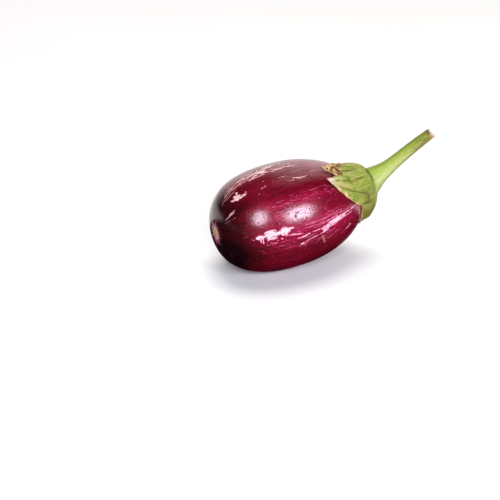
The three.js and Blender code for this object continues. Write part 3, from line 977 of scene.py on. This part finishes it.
def calyx_material():
    r = Recipe("calyx_green")
    place = r.place()
    share = r.field("share")
    mottle = r.noise(place, 420, detail=4, roughness=0.6)
    patches = r.noise(place, 120)
    lines = r.noise(r.stretched(r.field("fibres", "Vector"), (1, 0.12, 1)), 1.3, detail=4, roughness=0.6)
    uneven = r.swing(mottle, 0.22)

    green = r.ramp(
        r.times(r.plus(patches, mottle), 0.5),
        (0.36, "#5c7222"), (0.46, "#768a2a"), (0.55, "#8e9540"), (0.66, "#a69e5c"),
    )
    tan = r.ramp(mottle, (0.36, "#865830"), (0.5, "#be9262"), (0.64, "#dcb896"))
    brown = r.ramp(
        r.plus(mottle, r.ease(share, 0.82, 0.97, -0.1, 0.05)),
        (0.38, "#542e14"), (0.46, "#886234"), (0.56, "#bc9a68"), (0.68, "#d6be94"),
    )
    pale = r.ramp(mottle, (0.4, "#b08e6e"), (0.6, "#d6c2b0"))
    bleached = r.plus(r.field("pale_tip"), uneven)
    colour = r.paint(
        green,
        (r.ease(lines, 0.52, 0.62, 0, 0.45), "#c8c482"),  # light fibres
        (r.ease(lines, 0.36, 0.46, 0.55, 0), "#687422"),  # dark fibres
        (r.times(r.field("shaded"), 0.85), "#645614"),
        (r.ease(share, 0.3, 0.5, 0.45, 0), "#a2aa60"),  # the crown
        (r.ease(r.plus(share, uneven), 0.965, 1), tan),  # the dry margin
        (r.ease(r.plus(r.field("dry"), uneven), 0.3, 0.6), brown),  # the dried lobe
        # painted shade in the sunken hollows between the dry lobe's curls
        (r.ease(r.field("hollow"), 0.3, 0.8, 0, 0.85), "#5c2c22"),
        (r.ease(bleached, 0.1, 0.7, 0, 0.75), "#b8b270"),
        (r.ease(bleached, 0.8, 0.92), pale),
        (r.times(r.field("rust"), r.ease(mottle, 0.42, 0.58, 0.3, 1)), "#684c1a"),
        # brown fold lines, deepened with painted shade
        (r.times(r.field("crease"), r.ease(mottle, 0.35, 0.6, 1, 0.7)), "#4e3612"),
        # painted shade in the groove round the stalk's foot
        (r.times(r.field("brim_shade"), 0.8), "#3a4010"),
        (r.ease(r.cells(place, 700), 0.06, 0.2, 0.6, 0), "#78642c"),  # fine flecks
        (r.times(r.field("inside"), 0.7), "#787030"),
    )

    rough = r.ease(mottle, 0.3, 0.7, 0.56, 0.74)
    return r.finish(colour, rough, 1.3, (mottle, 0.0003, 0.6), (lines, 0.0004, 0.5))


def stalk_material():
    r = Recipe("stalk_green")
    fibres = r.field("fibres", "Vector")
    along = r.field("along")
    upper = r.field("upper")
    lines = r.streaks(fibres, 0.07, 0.9, detail=4, roughness=0.6)
    fine = r.streaks(fibres, 0.2, 2.6)
    mottle = r.noise(fibres, 0.55)

    patches = r.times(r.ease(mottle, 0.5, 0.64, 0, 0.6), r.ease(along, 0.6, 0.95, 1, 0.4))
    low = r.plus(upper, r.swing(lines, 0.8), r.ease(along, 0.25, 0.8, 0, -0.35))
    spots = r.ease(r.streaks(fibres, 0.5, 1.1), 0.56, 0.66, 0, 0.7)
    spots = r.times(spots, r.ease(low, -0.7, 0.1, 1, 0))
    bruise = r.ease(r.noise(fibres, 0.3), 0.4, 0.62, 0.5, 1)
    bruise = r.times(r.ease(along, 0.5, 0.92, 0, 0.85), bruise)
    tip = r.plus(along, r.swing(mottle, 0.12))
    dried = r.paint("#ac7e4c", (r.ease(upper, 0.1, 0.6), "#584e1c"))
    corner = r.times(r.ease(along, 0.95, 0.97), r.ease(upper, -0.8, -0.4, 1, 0))
    face = r.ramp(
        r.plus(r.field("from_middle"), r.swing(mottle, 0.2)),
        (0, "#e2c4b4"), (0.4, "#d6b498"), (0.55, "#c4a070"), (0.8, "#cab07c"), (0.95, "#5c4224"),
    )
    green = r.ramp(along, (0, "#acb662"), (0.2, "#b2c270"), (0.5, "#aab25e"), (1, "#7e882c"))
    colour = r.paint(
        green,
        (r.ease(lines, 0.42, 0.66, 0, 0.6), "#96a83e"),
        (patches, "#c4c894"),
        (r.ease(upper, 0.2, 0.95, 0, 0.75), "#88a224"),
        (r.ease(upper, 0.86, 1, 0, 0.5), "#68762c"),
        # painted shade: darker olive towards the stalk's underside
        (r.ease(low, -0.95, -0.3, 0.85, 0), "#766818"),
        (spots, "#5c4214"),
        (r.ease(fine, 0.6, 0.7, 0, 0.6), "#8e6c34"),
        # painted shade where the stalk meets the calyx
        (r.times(r.field("seam"), 0.9), "#363c10"),
        (bruise, "#6c6a22"),
        (r.ease(tip, 0.92, 0.96, 0, 0.9), dried),
        (r.ease(tip, 0.965, 0.985), "#c4b09a"),
        (corner, "#422e1e"),
        (r.field("cut"), face),
    )

    rough = r.ease(fine, 0.3, 0.7, 0.4, 0.55)
    return r.finish(colour, rough, 1.3, (lines, 0.0004, 0.5), (fine, 0.0001, 0.4))


def floor_material():
    r = Recipe("pale_floor")
    tint = r.ramp(r.noise(r.place(), 3, detail=2), (0.3, "#f4f5f0"), (0.7, "#f9f9f6"))
    return r.finish(tint, 0.75, 1.3, (r.noise(r.place(), 400, detail=2), 0.00002, 0.2))


def flag_material():
    r = Recipe("black_cloth")
    weave = r.noise(r.place(), 300, detail=2)
    tint = r.ramp(weave, (0.3, "#160e12"), (0.7, "#22161c"))
    return r.finish(tint, 0.9, 1.05, (weave, 0.0002, 1))


# -------- camera and light

CAMERA_AZIMUTH, CAMERA_ELEVATION = rad(-24.7), rad(25.3)
CAMERA_DISTANCE = 700
PICTURE_WIDTH, FOCAL_LENGTH = 500, 1292.7  # both in pixels
SENSOR = 36
VIEW_RIGHT, VIEW_UP = -17.856, -19.075  # the view's middle, from the fruit's widest section

# Softboxes: x and bearing of the reflection on the fruit, width and height in mm, power in watts.
SOFTBOXES = (
    ("softbox_left", -23.6, 30.5, 370, 440, 4.8),
    ("softbox_right", -2, 25, 220, 390, 4.1),
)
SOFTBOX_DISTANCE = 900
SOFTBOX_TINT = (0.85, 0.84, 1)
# Diffusers, without a reflection of their own: place and diameter in mm, power in watts.
DIFFUSERS = (
    ("overhead", (400, 700, 2600), 2400, 66),
    ("front_fill", (-250, -1000, 750), 900, 4.3),
)
DIFFUSER_TINT = (1, 0.97, 0.98)
BACKDROP, ROOM = 1.25, 0.03  # brightness of the backdrop, and of the room round it
BACKDROP_TINT = (1, 0.99, 1, 1)
BACKDROP_SIDES = (0.42, 0.92)  # it fades in between these cosines from straight behind
BACKDROP_TOP = (0.62, 1)  # and out between these heights of the direction
FLOOR_CORNERS = ((-3000, -3000), (3000, -3000), (3000, 3000), (-3000, 3000))
FLOOR_DEPTH, FLAG_DEPTH = 0.2, 0.1
FLAG_CORNERS = ((-700, -45), (500, -45), (700, 900), (-700, 900))  # to the right, to the camera


def camera_axes():
    a, e = CAMERA_AZIMUTH, CAMERA_ELEVATION
    back = np.array([math.sin(a) * math.cos(e), -math.cos(a) * math.cos(e), math.sin(e)])
    right = np.array([math.cos(a), math.sin(a), 0])
    return right, np.cross(back, right), back


RIGHT, UP, BACK = camera_axes()
CAMERA_TARGET = REST + RIGHT * VIEW_RIGHT + UP * VIEW_UP
CAMERA_PLACE = CAMERA_TARGET + BACK * CAMERA_DISTANCE


def add_facing(name, data, place, target):
    """An object at a place, in mm, whose -Z points at its target."""
    made = add_object(name, data)
    turn = Vector(target - place).to_track_quat("-Z", "Y").to_matrix().to_4x4()
    made.matrix_world = Matrix.Translation(Vector(place) * MM) @ turn
    return made


def add_camera():
    data = bpy.data.cameras.new("camera")
    data.sensor_width = SENSOR
    data.lens = FOCAL_LENGTH / PICTURE_WIDTH * SENSOR
    data.clip_start = 0.01
    bpy.context.scene.camera = add_facing("camera", data, CAMERA_PLACE, CAMERA_TARGET)


def add_light(name, shape, width, height, power, tint, place, target):
    data = bpy.data.lights.new(name, "AREA")
    data.shape = shape
    data.size, data.size_y = width * MM, height * MM
    data.energy = power
    data.color = tint
    light = add_facing(name, data, place, target)
    light.visible_camera = False
    return light


def add_lights():
    for name, x, bearing, width, height, power in SOFTBOXES:
        target, normal = skin_at(x, rad(bearing))
        view = unit(CAMERA_PLACE - target)
        place = target + (2 * (normal @ view) * normal - view) * SOFTBOX_DISTANCE
        add_light(name, "ELLIPSE", width, height, power, SOFTBOX_TINT, place, target)
    for name, place, size, power in DIFFUSERS:
        light = add_light(name, "DISK", size, size, power, DIFFUSER_TINT, np.array(place), REST)
        light.visible_glossy = False


def add_world():
    """A dark room with a white backdrop behind the fruit. The camera sees plain white."""
    r = Recipe("studio", "worlds")
    r.tree.nodes.clear()
    direction = r.node("TexCoord").outputs["Generated"]
    facing = {0: direction, 1: (-BACK[0], -BACK[1], 0)}
    behind = r.node("VectorMath", facing, operation="DOT_PRODUCT").outputs["Value"]
    height = r.node("SeparateXYZ", {"Vector": direction}).outputs["Z"]
    backdrop = r.times(r.ease(behind, *BACKDROP_SIDES), r.ease(height, *BACKDROP_TOP, 1, 0))
    light = r.math("MULTIPLY_ADD", backdrop, BACKDROP, ROOM)
    seen = r.node("LightPath").outputs["Is Camera Ray"]
    strength = r.node("Mix", {0: seen, 2: light, 3: 1}).outputs[0]
    background = r.node("Background", {"Color": BACKDROP_TINT, "Strength": strength})
    r.node("OutputWorld", {"Surface": background.outputs[0]})
    bpy.context.scene.world = r.owner


def add_sheet(name, corners, depth, material):
    """A flat sheet of the studio, a little under the object. Everything is in mm."""
    mesh = bpy.data.meshes.new(name)
    mesh.from_pydata([(x * MM, y * MM, 0) for x, y in corners], [], [(0, 1, 2, 3)])
    mesh.materials.append(material)
    sheet = add_object(name, mesh)
    sheet.location.z = -depth * MM
    sheet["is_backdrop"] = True
    return sheet


def add_flag():
    """A black cloth on the floor in front, seen only in reflections, that keeps the low skin dark."""
    front = unit(BACK[:2])
    corners = [RIGHT[:2] * x + front * y for x, y in FLAG_CORNERS]
    flag = add_sheet("flag", corners, FLAG_DEPTH, flag_material())
    flag.visible_camera = flag.visible_diffuse = flag.visible_shadow = False


# -------- scene

for make, material, node, slot in (
    (make_fruit, skin_material, "fruit", "skin"),
    (make_calyx, calyx_material, "calyx", "calyx_green"),
    (make_stalk, stalk_material, "stem", "stem_green"),
):
    piece = make()
    piece.data.materials.append(material())
    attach(piece, "root")
    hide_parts(node)

add_sheet("floor", FLOOR_CORNERS, FLOOR_DEPTH, floor_material())
add_flag()
add_world()
add_lights()
add_camera()
bpy.context.scene.view_settings.view_transform = "Standard"

boxes = {"cad": cad_box, "visual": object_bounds()}
{name: [list(corner) for corner in box] for name, box in boxes.items()}
